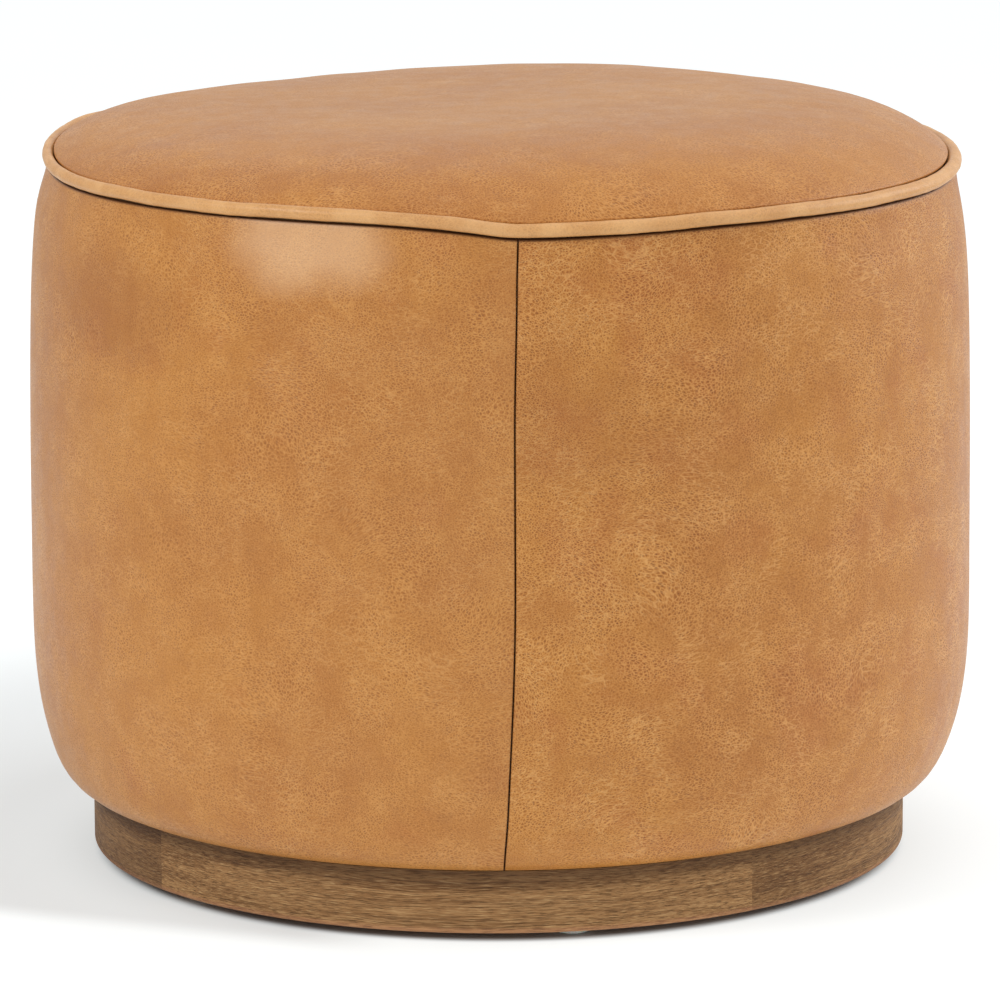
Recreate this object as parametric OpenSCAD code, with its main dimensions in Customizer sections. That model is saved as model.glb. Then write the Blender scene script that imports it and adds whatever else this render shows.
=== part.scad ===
// Round drum pouf: a leather cover over foam on a plywood and timber frame, on a wood plinth ring
// with nylon glides. Millimetres, +Z up, the origin on the floor under the centre, the front at -Y.

/* [Body] */
// Radius of the body at its waist
waist_r = 275; // [273:1:277]
// Height of the waist above the floor
waist_z = 190; // [180:1:200]
// How far the side tucks in from the waist down to the flat underside
bottom_tuck = 41; // [39:0.5:41]
// How far the side leans in between the waist and the top seam
side_lean = 4; // [3.8:0.1:4.2]
// How far the side turns in just under the top seam
top_tuck = 8.8; // [8.5:0.1:9.2]
// Height of the top edge of the side panels
side_top_z = 405.2; // [405:0.1:405.4]
// Height of the dome above the top seam
crown_h = 28.8; // [26:0.2:32]

/* [Cover] */
// Thickness of the leather
leather_t = 1.3; // [1.1:0.1:1.3]
// Diameter of the piping
piping_d = 8.2; // [8:0.1:8.4]
// Radius of the piping's centreline
piping_r = 264; // [263.8:0.1:264.2]
// Height of the piping's centreline
piping_z = 409; // [408.8:0.1:409.2]
// Turn of the vertical seams from the front-back line, in degrees
seam_turn = 1.5; // [0:0.5:3]
// Width of the groove between two side panels
seam_gap = 0.6; // [0.5:0.1:0.8]

/* [Padding] */
// Thickness of the wadding under the leather
wadding_t = 8; // [6:1:8]
// Height at which the crown foam starts
crown_foam_z = 396; // [394:1:396]

/* [Frame] */
// Outer radius of the bent board round the frame
frame_r = 232; // [230:1:232]
// Thickness of the bent board
shell_t = 3; // [2:0.5:4]
// Inner radius of the plywood rings
ring_inner_r = 180; // [175:1:182]
// Height of the top face of the top ring
deck_z = 330; // [320:1:335]
// Thickness of the top ring
top_ring_t = 18; // [15:1:20]
// Thickness of the bottom board and of the middle ring
board_t = 15; // [15:1:18]
// Tangential width of an upright
upright_w = 45; // [40:1:48]
// Radial depth of an upright
upright_depth = 22; // [18:1:22]

/* [Webbing] */
// Width of a webbing strip
web_w = 50; // [44:1:54]
// Thickness of a webbing strip
web_t = 1.2; // [1:0.1:1.3]
// Distance between neighbouring strips' centrelines
web_pitch = 80; // [78:1:82]

/* [Plinth] */
// Outer radius of the plinth
plinth_r = 239; // [236:1:242]
// Radial width of the plinth's wood
plinth_wall = 38; // [36:1:40]
// Height of the plinth's top face above the floor
plinth_top_z = 41; // [36:1:46]
// Rounding of the plinth's lower outer edge
plinth_edge = 2; // [1:0.5:3]
// Turn of the first glue joint from the +X axis, in degrees
plinth_turn = -53.5; // [-56:0.5:-52]
// Diameter of a glide
glide_d = 20; // [18:1:22]
// Height of a glide under the plinth
glide_h = 5; // [4:0.5:6]
// Radius of the circle of glides
glide_circle_r = 217; // [216:1:218]
// Turn of the first glide from the +X axis, in degrees
glide_turn = -79.2; // [-80:0.2:-78]

/* [Hidden] */
SIDES = ["front_right", "back_right", "back_left", "front_left"];
PLINTH_SIDES = ["right", "back", "left", "front"];
SEGMENTS = len(PLINTH_SIDES);
UPRIGHTS = 8;
WEBS = 4;
GLIDES = 6;
ONE_EACH = [
    "seat_leather", "piping_cover", "piping_cord", "side_seam_threads", "top_seam_thread",
    "seat_wadding", "side_wadding", "crown_foam", "seat_foam", "side_foam", "deck_cloth",
    "webbing_staples", "top_ring", "middle_ring", "bottom_board", "side_shell", "frame_screws",
    "plinth_dowels", "plinth_screws", "glide_nails", "dust_cover", "leather_staples",
    "dust_cover_staples"
];

$fn = 180;
SMALL_FN = 32;          // facets of screws, nails, dowels and glides
PIPING_FN = 48;         // facets round the piping
FAR = 320;              // beyond the body's radius
HIGH = 640;             // above the body
STEPS = 14;             // points along each stretch of the outline

// Cover
seam_r = piping_r;
seam_z = piping_z;
dome_power = 8;
roll_power_z = 2.7;     // exponents of the superellipse that rolls the side under the body
roll_power_r = 3;
lean_power = 2;
tuck_power = 8;
flange_t = 2;
flange_drop = 12;       // length of the seam allowance below the top seam
flange_bite = 0.7;      // how far the flange reaches into the piping's tube
hem_r = piping_r - piping_d / 2 + flange_bite - flange_t;
hem_z = piping_z - flange_drop;
piping_wrap_t = 1.2;    // leather round the cord
cord_r = piping_d / 2 - piping_wrap_t;
leather_tail_r = 178;   // where the side panels' stapled tails end
quarter = 90;
gap_angle = seam_gap / waist_r * 180 / PI;
first_seam = -90 + seam_turn;
thread_d = 0.6;
thread_w = 0.3;
thread_in = 0.4;        // depth of the side seams' thread in the groove

// Padding
pad_in = leather_t + wadding_t;
clear = 0.3;

// Frame
board_z = plinth_top_z + leather_t;
board_top = board_z + board_t;
board_r = frame_r - shell_t;
ring_bottom = deck_z - top_ring_t;
middle_z = (board_top + ring_bottom - board_t) / 2;
upright_in = 1.5;       // from the rings' outer edge to the middle of an upright's outer face
upright_r = board_r - upright_depth - upright_in;
upright_mid_r = upright_r + upright_depth / 2;
deck_cloth_t = 0.6;
deck_cloth_r = board_r - 3;
weave_gap = 0.1;        // between crossing strips, and between them and the cloth
weave_step = web_t + weave_gap;
weave_slack = 3;        // level part of a strip beyond the edge of the one it crosses
cloth_z = deck_z + 2 * weave_step;
slab_z = cloth_z + deck_cloth_t;
web_end_r = board_r - 7;

// Fasteners
staple_w = 10;
staple_t = 0.8;
web_staple_leg = 12;
board_staple_leg = 10;
staples_per_end = 3;
staple_pitch = web_w * 0.36;
end_staple_in = 8;      // from the webbing's end to its staples
leather_staple_r = 187;
leather_staples_per_panel = 10;
dust_staple_r = 194;
dust_staple_count = 24;
screw_d = 4;
screw_len = 40;
head_d = 8;
head_h = 3;
plinth_screw_d = 4.5;
plinth_screw_r = plinth_r - plinth_wall / 2;
plinth_screw_turn = 18; // from each glue joint
counterbore_d = 10;
counterbore_h = 12;
plinth_head_h = 4;
plinth_screw_len = 40;
dowel_d = 8;
dowel_len = 40;
dowel_spread = 8;
nail_d = 2.5;
nail_foot_z = 2;
nail_len = 16;

// Underside
plinth_z = glide_h;
plinth_inner_r = plinth_r - plinth_wall;
plinth_h = plinth_top_z - plinth_z;
dust_t = 0.6;
dust_z = plinth_top_z - staple_t - dust_t;
dust_gap = 2;
dust_r = plinth_inner_r - dust_gap;

// ---------------------------------------------------------------- outline of the body

// The side from the waist up: it leans in, and turns in more just under the seam.
function side_r(z) =
    let (u = (z - waist_z) / (side_top_z - waist_z))
    waist_r - side_lean * pow(u, lean_power) - top_tuck * pow(u, tuck_power);

// The side from the waist down: a quarter of a superellipse that rolls under the body.
function roll_point(t) = [
    waist_r - bottom_tuck * (1 - pow(cos(t), 2 / roll_power_r)),
    waist_z - (waist_z - plinth_top_z) * pow(sin(t), 2 / roll_power_z)
];

// The dome of the seat, steepest at the seam.
function dome_z(r) = seam_z + crown_h * (1 - pow(r / seam_r, dome_power));

side_points = concat(
    [[leather_tail_r / 2, plinth_top_z]],
    [for (i = [2 * STEPS:-1:1]) roll_point(90 * i / (2 * STEPS))],
    [for (i = [0:STEPS]) let (z = waist_z + (side_top_z - waist_z) * i / STEPS) [side_r(z), z]]
);
dome_points = [
    for (i = [0:2 * STEPS])
        let (r = seam_r * sin(90 * i / (2 * STEPS)))
        [r, dome_z(r)]
];

// The unit vector to the left of the way from a to b.
function left_of(a, b) = let (d = (b - a) / norm(b - a)) [-d[1], d[0]];

// A chain of points moved to its left by d, at every point along the mean of its two sides.
function shifted(chain, d) =
    let (last = len(chain) - 1)
    [for (i = [0:last]) chain[i] + d * left_of(chain[max(i - 1, 0)], chain[min(i + 1, last)])];

// Everything inside the side's outline, d below its surface.
module inside_side(d) {
    points = shifted(side_points, d);
    end = points[len(points) - 1];
    polygon(concat([[0, plinth_top_z + d]], points, [[end[0], HIGH], [0, HIGH]]));
}

// Everything under the dome, d below its surface.
module under_dome(d) {
    points = shifted(dome_points, -d);
    edge = points[len(points) - 1];
    slope = edge - points[len(points) - 2];
    beyond = edge + slope * (FAR - edge[0]) / slope[0];
    polygon(concat([[0, 0], [FAR, 0], beyond],
        [for (i = [len(points) - 1:-1:0]) [max(points[i][0], 0), points[i][1]]]));
}

// The padded body, d below its surface, between two radii and two heights.
module core(d, r0, r1, z0, z1) {
    intersection() {
        inside_side(d);
        under_dome(d);
        translate([r0, z0]) square([r1 - r0, z1 - z0]);
    }
}

module ring(r0, r1, z0, z1) {
    rotate_extrude() translate([r0, z0]) square([r1 - r0, z1 - z0]);
}

// ---------------------------------------------------------------- fasteners

// A staple under a face at height 0 whose legs point up.
module staple(leg) {
    translate([-staple_w / 2, -staple_t / 2, -staple_t]) cube([staple_w, staple_t, staple_t]);
    for (x = [-staple_w / 2, staple_w / 2 - staple_t])
        translate([x, -staple_t / 2, -staple_t]) cube([staple_t, staple_t, leg + staple_t]);
}

// A countersunk screw that points up, with its head's face at height 0.
module screw() {
    cylinder(h = screw_len, d = screw_d, $fn = SMALL_FN);
    cylinder(h = head_h, d1 = head_d, d2 = screw_d, $fn = SMALL_FN);
}

module all_webbing_staples() {
    for (across = [true, false], i = [1:WEBS], end = [-1, 1], k = [1:staples_per_end]) {
        y = web_y(i);
        x = end * (web_half(i) - end_staple_in);
        aside = (k - (staples_per_end + 1) / 2) * staple_pitch;
        rotate(across ? 0 : 90)
            translate([x, y + aside, deck_z + web_t])
                rotate([180, 0, 90])
                    staple(web_staple_leg);
    }
}

module all_leather_staples() {
    step = quarter / leather_staples_per_panel;
    for (i = [0:4 * leather_staples_per_panel - 1])
        rotate(first_seam + (i + 0.5) * step)
            translate([leather_staple_r, 0, plinth_top_z])
                rotate(90)
                    staple(board_staple_leg);
}

module all_dust_staples() {
    for (i = [0:dust_staple_count - 1])
        rotate(i * 360 / dust_staple_count)
            translate([dust_staple_r, 0, dust_z])
                rotate(90)
                    staple(board_staple_leg);
}

module all_frame_screws() {
    for (i = [0:UPRIGHTS - 1])
        rotate(i * 360 / UPRIGHTS) {
            translate([upright_mid_r, 0, board_z]) screw();
            translate([upright_mid_r, 0, deck_z]) mirror([0, 0, 1]) screw();
        }
}

module all_plinth_screws() {
    head_z = plinth_z + counterbore_h;
    for (i = [0:SEGMENTS - 1], turn = [plinth_screw_turn, quarter - plinth_screw_turn])
        rotate(plinth_turn + i * quarter + turn)
            translate([plinth_screw_r, 0, head_z]) {
                cylinder(h = plinth_screw_len, d = plinth_screw_d, $fn = SMALL_FN);
                cylinder(h = plinth_head_h, d1 = counterbore_d - 1, d2 = plinth_screw_d, $fn = SMALL_FN);
            }
}

module all_counterbores() {
    for (i = [0:SEGMENTS - 1], turn = [plinth_screw_turn, quarter - plinth_screw_turn])
        rotate(plinth_turn + i * quarter + turn)
            translate([plinth_screw_r, 0, plinth_z - 1])
                cylinder(h = counterbore_h + 1, d = counterbore_d, $fn = SMALL_FN);
}

module all_dowels() {
    for (i = [0:SEGMENTS - 1], side = [-1, 1])
        rotate(plinth_turn + i * quarter)
            translate([plinth_screw_r + side * dowel_spread, 0, plinth_z + plinth_h / 2])
                rotate([90, 0, 0])
                    cylinder(h = dowel_len, d = dowel_d, center = true, $fn = SMALL_FN);
}

module all_nails() {
    for (i = [0:GLIDES - 1])
        rotate(glide_turn + i * 360 / GLIDES)
            translate([glide_circle_r, 0, nail_foot_z])
                cylinder(h = nail_len, d = nail_d, $fn = SMALL_FN);
}

// ---------------------------------------------------------------- leather cover

module seat_leather() {
    color("peru")
        rotate_extrude()
            union() {
                difference() {
                    core(0, 0, hem_r, crown_foam_z, HIGH);
                    under_dome(leather_t);
                }
                translate([hem_r - leather_t, hem_z])
                    square([leather_t, dome_z(hem_r) - leather_t - hem_z]);
            }
}

module side_leather(index) {
    color("peru")
        difference() {
            rotate(first_seam + index * quarter + gap_angle / 2)
                rotate_extrude(angle = quarter - gap_angle)
                    difference() {
                        intersection() {
                            inside_side(0);
                            translate([leather_tail_r, 0]) square([FAR, side_top_z]);
                        }
                        inside_side(leather_t);
                    }
            all_plinth_screws();
            all_leather_staples();
            all_dust_staples();
        }
}

module piping_cover() {
    color("sandybrown")
        rotate_extrude()
            difference() {
                union() {
                    translate([piping_r, piping_z]) circle(d = piping_d, $fn = PIPING_FN);
                    translate([hem_r, hem_z]) square([flange_t, flange_drop]);
                }
                translate([piping_r, piping_z]) circle(r = cord_r, $fn = PIPING_FN);
            }
}

module piping_cord() {
    color("ivory")
        rotate_extrude()
            translate([piping_r, piping_z]) circle(r = cord_r, $fn = PIPING_FN);
}

module side_seam_threads() {
    color("saddlebrown")
        for (i = [0:3])
            rotate(first_seam + i * quarter - thread_w / waist_r * 90 / PI)
                rotate_extrude(angle = thread_w / waist_r * 180 / PI)
                    difference() {
                        intersection() {
                            inside_side(thread_in);
                            translate([frame_r, board_top]) square([FAR, side_top_z - board_top]);
                        }
                        inside_side(thread_in + thread_d);
                    }
}

module top_seam_thread() {
    color("saddlebrown")
        rotate_extrude()
            translate([hem_r - leather_t - thread_d / 2, hem_z + flange_drop / 2])
                circle(d = thread_d, $fn = 16);
}

// ---------------------------------------------------------------- padding

module seat_wadding() {
    color("white")
        rotate_extrude()
            difference() {
                core(leather_t, 0, hem_r - leather_t - thread_d - clear, hem_z, HIGH);
                core(pad_in, 0, FAR, 0, HIGH);
            }
}

module side_wadding() {
    color("white")
        rotate_extrude()
            difference() {
                core(leather_t, frame_r, FAR, board_z, hem_z);
                core(pad_in, 0, FAR, 0, HIGH);
            }
}

module crown_foam() {
    color("khaki")
        rotate_extrude()
            core(pad_in, 0, FAR, crown_foam_z, HIGH);
}

module seat_foam() {
    color("lightsteelblue")
        cylinder_between(frame_r - clear, slab_z, crown_foam_z);
}

module side_foam() {
    color("khaki")
        rotate_extrude()
            core(pad_in, frame_r, FAR, board_z, crown_foam_z);
}

module cylinder_between(r, z0, z1) {
    translate([0, 0, z0]) cylinder(h = z1 - z0, r = r);
}

// ---------------------------------------------------------------- suspension

// Distance of strip i's centreline from the middle of the deck, and half its length.
function web_y(i) = (i - (WEBS + 1) / 2) * web_pitch;
function web_half(i) = sqrt(pow(web_end_r, 2) - pow(abs(web_y(i)) + web_w / 2, 2));

// A strip's underside, seen from its edge: under one crossing strip and up over the next.
function weave_line(i) =
    let (half = web_half(i), flat = web_w / 2 + weave_slack)
    concat(
        [[-half, 0]],
        [for (j = [1:WEBS], s = [-1, 1]) [web_y(j) + s * flat, (i + j) % 2 * weave_step]],
        [[half, 0]]
    );

module webbing_strip(i, across) {
    line = weave_line(i);
    color("dimgray")
        difference() {
            rotate(across ? 0 : 90)
                translate([0, web_y(i) + web_w / 2, deck_z])
                    rotate([90, 0, 0])
                        linear_extrude(web_w)
                            polygon(concat(line, [for (k = [len(line) - 1:-1:0]) line[k] + [0, web_t]]));
            all_webbing_staples();
        }
}

module webbing_staples() {
    color("silver") all_webbing_staples();
}

module deck_cloth() {
    color("tan") cylinder_between(deck_cloth_r, cloth_z, slab_z);
}

// ---------------------------------------------------------------- frame

module upright(i) {
    color("burlywood")
        difference() {
            rotate((i - 1) * 360 / UPRIGHTS)
                translate([upright_r, -upright_w / 2, board_top])
                    cube([upright_depth, upright_w, ring_bottom - board_top]);
            all_frame_screws();
        }
}

module top_ring() {
    color("wheat")
        difference() {
            ring(ring_inner_r, board_r, ring_bottom, deck_z);
            all_frame_screws();
            all_webbing_staples();
        }
}

module middle_ring() {
    color("wheat")
        difference() {
            ring(ring_inner_r, board_r, middle_z, middle_z + board_t);
            for (i = [0:UPRIGHTS - 1])
                rotate(i * 360 / UPRIGHTS)
                    translate([upright_r, -upright_w / 2, middle_z - 1])
                        cube([upright_depth, upright_w, board_t + 2]);
        }
}

module bottom_board() {
    color("wheat")
        difference() {
            cylinder_between(board_r, board_z, board_top);
            all_frame_screws();
            all_plinth_screws();
            all_leather_staples();
            all_dust_staples();
        }
}

module side_shell() {
    color("saddlebrown") ring(board_r, frame_r, board_z, deck_z);
}

module frame_screws() {
    color("silver") all_frame_screws();
}

// ---------------------------------------------------------------- plinth and underside

module plinth(i) {
    e = plinth_edge;
    color("sienna")
        difference() {
            rotate(plinth_turn + i * quarter)
                rotate_extrude(angle = quarter)
                    union() {
                        translate([plinth_inner_r, plinth_z]) square([plinth_wall - e, plinth_h]);
                        translate([plinth_r - e - 1, plinth_z + e]) square([e + 1, plinth_h - e]);
                        translate([plinth_r - e, plinth_z + e]) circle(r = e, $fn = SMALL_FN);
                    }
            all_dowels();
            all_plinth_screws();
            all_counterbores();
            all_nails();
        }
}

module plinth_dowels() {
    color("burlywood") all_dowels();
}

module plinth_screws() {
    color("silver") all_plinth_screws();
}

module glide(i) {
    edge = 1;
    r = glide_d / 2;
    color("whitesmoke")
        difference() {
            rotate(glide_turn + (i - 1) * 360 / GLIDES)
                translate([glide_circle_r, 0, 0])
                    rotate_extrude($fn = SMALL_FN)
                        polygon([[0, 0], [r - 2 * edge, 0], [r, edge], [r, glide_h], [0, glide_h]]);
            all_nails();
        }
}

module glide_nails() {
    color("silver") all_nails();
}

module dust_cover() {
    color("black")
        difference() {
            cylinder_between(dust_r, dust_z, dust_z + dust_t);
            all_dust_staples();
        }
}

module leather_staples() {
    color("silver") all_leather_staples();
}

module dust_cover_staples() {
    color("silver") all_dust_staples();
}

// ---------------------------------------------------------------- the whole pouf

seat_leather();
for (i = [0:3]) side_leather(i);
piping_cover();
piping_cord();
side_seam_threads();
top_seam_thread();
seat_wadding();
side_wadding();
crown_foam();
seat_foam();
side_foam();
deck_cloth();
for (i = [1:WEBS]) webbing_strip(i, true);
for (i = [1:WEBS]) webbing_strip(i, false);
webbing_staples();
for (i = [1:UPRIGHTS]) upright(i);
top_ring();
middle_ring();
bottom_board();
side_shell();
frame_screws();
for (i = [0:3]) plinth(i);
plinth_dowels();
plinth_screws();
for (i = [1:GLIDES]) glide(i);
glide_nails();
dust_cover();
leather_staples();
dust_cover_staples();
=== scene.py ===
"""A round drum pouf: waxed tan leather over foam, on a plywood frame and a brown wood plinth.

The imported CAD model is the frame. The leather, piping, padding, cloth and stitches are made here and
stand for their CAD solids; the wood, webbing and hardware are the CAD's own, with finishes made here.
Everything is in metres, with the floor at z = 0 and the front towards -Y.
"""
import math

import bpy
import numpy as np
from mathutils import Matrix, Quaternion, Vector, noise


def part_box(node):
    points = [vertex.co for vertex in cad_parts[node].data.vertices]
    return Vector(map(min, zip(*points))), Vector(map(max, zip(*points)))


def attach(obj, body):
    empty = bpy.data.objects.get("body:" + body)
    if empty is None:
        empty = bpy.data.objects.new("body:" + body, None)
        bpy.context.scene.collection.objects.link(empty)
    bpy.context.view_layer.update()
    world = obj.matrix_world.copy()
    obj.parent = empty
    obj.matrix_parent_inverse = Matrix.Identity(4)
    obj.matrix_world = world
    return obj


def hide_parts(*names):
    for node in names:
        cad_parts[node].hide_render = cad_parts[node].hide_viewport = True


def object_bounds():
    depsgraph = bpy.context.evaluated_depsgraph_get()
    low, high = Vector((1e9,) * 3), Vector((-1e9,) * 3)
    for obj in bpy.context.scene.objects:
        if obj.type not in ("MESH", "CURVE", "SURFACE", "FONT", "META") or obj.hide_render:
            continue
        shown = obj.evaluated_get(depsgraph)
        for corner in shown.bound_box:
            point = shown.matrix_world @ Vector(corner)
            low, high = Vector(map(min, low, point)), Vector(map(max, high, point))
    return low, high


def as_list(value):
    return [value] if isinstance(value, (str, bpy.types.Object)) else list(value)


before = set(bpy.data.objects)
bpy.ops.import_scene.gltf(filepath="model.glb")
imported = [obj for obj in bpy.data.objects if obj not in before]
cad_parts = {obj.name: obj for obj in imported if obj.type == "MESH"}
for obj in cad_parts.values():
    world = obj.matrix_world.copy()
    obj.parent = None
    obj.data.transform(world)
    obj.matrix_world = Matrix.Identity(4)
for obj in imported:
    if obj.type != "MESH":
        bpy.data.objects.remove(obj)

CAD_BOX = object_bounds()
MM = 0.001

# ---- sizes, most of them read from the frame

SIDES = ["front_right", "back_right", "back_left", "front_left"]
panel_low, panel_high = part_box("side_leather_front_right")
seat_low, seat_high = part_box("seat_leather")
cord_low, cord_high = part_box("piping_cord")
piping_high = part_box("piping_cover")[1]

WAIST_R = CAD_BOX[1].x
WAIST_Z = 0.190  # where the side is widest
SIDE_TOP_Z = panel_high.z
UNDERSIDE_Z = panel_low.z
BOTTOM_TUCK = 0.041  # how far the side comes in from the waist to the underside
SIDE_LEAN = 0.004  # how far it comes in from the waist to the top, in a slow curve,
TOP_TUCK = 0.0088  # and how much more right under the top edge
ROLL_POWER_R, ROLL_POWER_Z = 3.0, 2.7
TUCK_POWER = 8  # higher powers keep a curve straighter and bend it later
DOME_POWER = 8
TAIL_R = 0.178  # where the stapled edge of the side leather ends

CORD_R = (cord_high.z - cord_low.z) / 2
PIPING_R = cord_high.x - CORD_R
PIPING_Z = cord_low.z + CORD_R
TUBE_R = piping_high.x - PIPING_R
CROWN = seat_high.z - PIPING_Z
HEM_Z = seat_low.z
FLANGE_IN = seat_high.x  # the piping's flange lies between these two radii
FLANGE_OUT = FLANGE_IN + 0.002

LEATHER_T = 0.0013
SKIVED = 0.6  # share of the leather's thickness that is left at its edges
SEAM_TURN = math.radians(-88.5)
QUARTER = math.pi / 2
PAD_IN = LEATHER_T + 0.008  # depth of the wadding's inner face
PAD_OUT = 2.1 * LEATHER_T  # and of its outer face, with room for the leather's slack
FRAME_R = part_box("side_shell")[1].x
CLEAR = 0.3 * MM


# ---- outline of the body

def smooth(t):
    """0 to 1 as t goes from 0 to 1, with level ends."""
    t = min(max(t, 0.0), 1.0)
    return t * t * t * (t * (6 * t - 15) + 10)


def side_r(z):
    u = (z - WAIST_Z) / (SIDE_TOP_Z - WAIST_Z)
    return WAIST_R - SIDE_LEAN * u ** 2 - TOP_TUCK * u ** TUCK_POWER


def dome_z(r):
    return PIPING_Z + CROWN * (1 - (r / PIPING_R) ** DOME_POWER)


def roll_point(turn):
    """The side below the waist; turn goes from 0 at the waist to 90 degrees at the underside."""
    r = WAIST_R - BOTTOM_TUCK * (1 - max(math.cos(turn), 0.0) ** (2 / ROLL_POWER_R))
    z = WAIST_Z - (WAIST_Z - UNDERSIDE_Z) * math.sin(turn) ** (2 / ROLL_POWER_Z)
    return r, z


def arc(centre, radius, start, end, steps):
    """Points of an arc in the (r, z) plane, angles in degrees."""
    angles = [math.radians(start + (end - start) * i / steps) for i in range(steps + 1)]
    return [(centre[0] + radius * math.cos(a), centre[1] + radius * math.sin(a)) for a in angles]


STEPS = 90  # points along each stretch of an outline


def side_chain(top_z, steps=STEPS):
    """The side's outer face from a height near the top down to the flat underside."""
    upper = [(side_r(z), z) for z in np.linspace(top_z, WAIST_Z, steps)]
    lower = [roll_point(t) for t in np.linspace(0, QUARTER, steps)[1:]]
    return upper + lower


def dome_chain(end_r):
    """The seat's outer face from the middle out."""
    return [(r, dome_z(r)) for r in end_r * np.sin(np.linspace(0, QUARTER, STEPS))]


def normals(chain):
    """The unit vector to the left of the way along a chain, at each point."""
    p = np.array(chain)
    d = np.gradient(p, axis=0)
    d /= np.linalg.norm(d, axis=1)[:, None]
    return np.stack([-d[:, 1], d[:, 0]], axis=1)


def sunk(chain, depth):
    """A chain moved below the face it draws."""
    return [tuple(p) for p in np.array(chain) - depth * normals(chain)]


def spaced(chain, step):
    """A chain's points again, at equal steps along it."""
    p = np.array(chain)
    length = np.concatenate([[0], np.cumsum(np.linalg.norm(np.diff(p, axis=0), axis=1))])
    at = np.linspace(0, length[-1], max(2, round(length[-1] / step) + 1))
    return [(np.interp(a, length, p[:, 0]), np.interp(a, length, p[:, 1])) for a in at]


# ---- how the soft parts have settled

BODY_SHIFT = 1.8 * MM  # the whole cover sits a little to the right on its frame
TOP_SHIFT = 1.2 * MM  # and its top edge a little more
CROWN_LEAN = 0.018  # the dome is fuller on the right,
CROWN_SWELL = 1.9 * MM  # and swells by this much round one x
CROWN_X = 0.06
CROWN_WIDE = 0.09
RIM_POWER = 6  # how closely the dome follows the top edge's height from the middle out
DECK_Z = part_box("deck_cloth")[1].z
NECK_Z = 0.375  # where the side starts to follow the top edge sideways
FOOT_TALL = 40 * MM  # the shift grows from nothing at the underside over this height
SIDE_SEAMS_IN = [(91.5, 1.4 * MM), (-96.0, 4.6 * MM)]  # turns where the top edge is drawn in, and how far
SEAM_PULL_TURN = 18  # over how many degrees to each side
ROLL_SWELL = 1.8 * MM  # the roll at the bottom is this much fuller on the right, round one height
ROLL_SWELL_Z = 0.048
ROLL_SWELL_TALL = 0.014
# The top edge's height at each turn from the front, in degrees and millimetres. It dips at the front
# seam and stands up at the left, as if the four side panels weren't cut to quite the same height.
TOP_EDGE = [
    (-180, 3), (-140, 2), (-115, 7), (-90, 5.5), (-75, 2), (-65, 0.5), (-40, 0.5), (-15, 0.5), (-5, -2.5),
    (2, -6), (15, -5), (30, -3.5), (70, -3.5), (90, -1), (110, 1), (140, 0), (180, 3),
]
(before_turn, before_height), (after_turn, after_height) = TOP_EDGE[-2], TOP_EDGE[1]
EDGE_LOOP = [(before_turn - 360, before_height), *TOP_EDGE, (after_turn + 360, after_height)]


def edge_height(turn):
    """The top edge's height at a turn from the front in degrees, on a smooth curve through TOP_EDGE."""
    at = next(i for i in range(1, len(TOP_EDGE)) if turn <= EDGE_LOOP[i + 1][0])
    (x_before, y_before), (x0, y0), (x1, y1), (x_after, y_after) = EDGE_LOOP[at - 1:at + 3]
    slope0 = (y1 - y_before) / (x1 - x_before) * (x1 - x0)
    slope1 = (y_after - y0) / (x_after - x0) * (x1 - x0)
    t = (turn - x0) / (x1 - x0)
    rise = (2 * t ** 3 - 3 * t ** 2 + 1) * y0 + (3 * t ** 2 - 2 * t ** 3) * y1
    rise += (t ** 3 - 2 * t ** 2 + t) * slope0 + (t ** 3 - t ** 2) * slope1
    return rise * MM


def settle(x, y, z):
    """Where a point of a soft part ends up once the pouf is sewn up and has been sat on."""
    r = math.hypot(x, y) + 1e-9
    turn = math.degrees(math.atan2(x, -y))
    high = smooth((z - DECK_Z) / (SIDE_TOP_Z - DECK_Z))
    neck = smooth((z - NECK_Z) / (PIPING_Z - NECK_Z))
    low = smooth((z - UNDERSIDE_Z) / FOOT_TALL)
    outer = min(max((r - FRAME_R) / (WAIST_R - FRAME_R), 0.0), 1.0)
    pull = sum(depth * math.exp(-((turn - seam + 180) % 360 - 180) ** 2 / SEAM_PULL_TURN ** 2)
               for seam, depth in SIDE_SEAMS_IN)
    swell = ROLL_SWELL * math.exp(-((z - ROLL_SWELL_Z) / ROLL_SWELL_TALL) ** 2) * max(x / r, 0.0) ** 2
    reach = r + (swell - pull * neck) * outer
    rim = (r / PIPING_R) ** RIM_POWER
    crown = CROWN_LEAN * x + CROWN_SWELL * math.exp(-((x - CROWN_X) / CROWN_WIDE) ** 2)
    return (
        x * reach / r + outer * (BODY_SHIFT * low + TOP_SHIFT * neck),
        y * reach / r,
        z + high * (edge_height(turn) * rim + crown * max(1 - rim, 0.0)),
    )


SWING = 0.6 * MM  # how far to the right of its straight line a vertical seam runs in the middle,
SWING_TOP = 1.9 * MM  # how much further at the top, growing from one height to another,
SWING_TOP_Z = (0.28, 0.40)
SWING_LOW = 4.6 * MM  # and how far it swings back to the left low down
SWING_LOW_Z = (0.22, 0.02)


def seam_turn(index, z):
    """The angle at which a vertical seam runs at a height."""
    top = smooth((z - SWING_TOP_Z[0]) / (SWING_TOP_Z[1] - SWING_TOP_Z[0]))
    low = smooth((z - SWING_LOW_Z[0]) / (SWING_LOW_Z[1] - SWING_LOW_Z[0]))
    return SEAM_TURN + index * QUARTER + (SWING + SWING_TOP * top - SWING_LOW * low) / WAIST_R


def polar(r, angle, z):
    return r * math.cos(angle), r * math.sin(angle), z


def waver(x, y, z, size, seed):
    """Smooth noise from about -1 to 1 with features of one size."""
    return noise.noise(Vector((x / size + seed, y / size, z / size)))


# ---- mesh helpers

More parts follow.
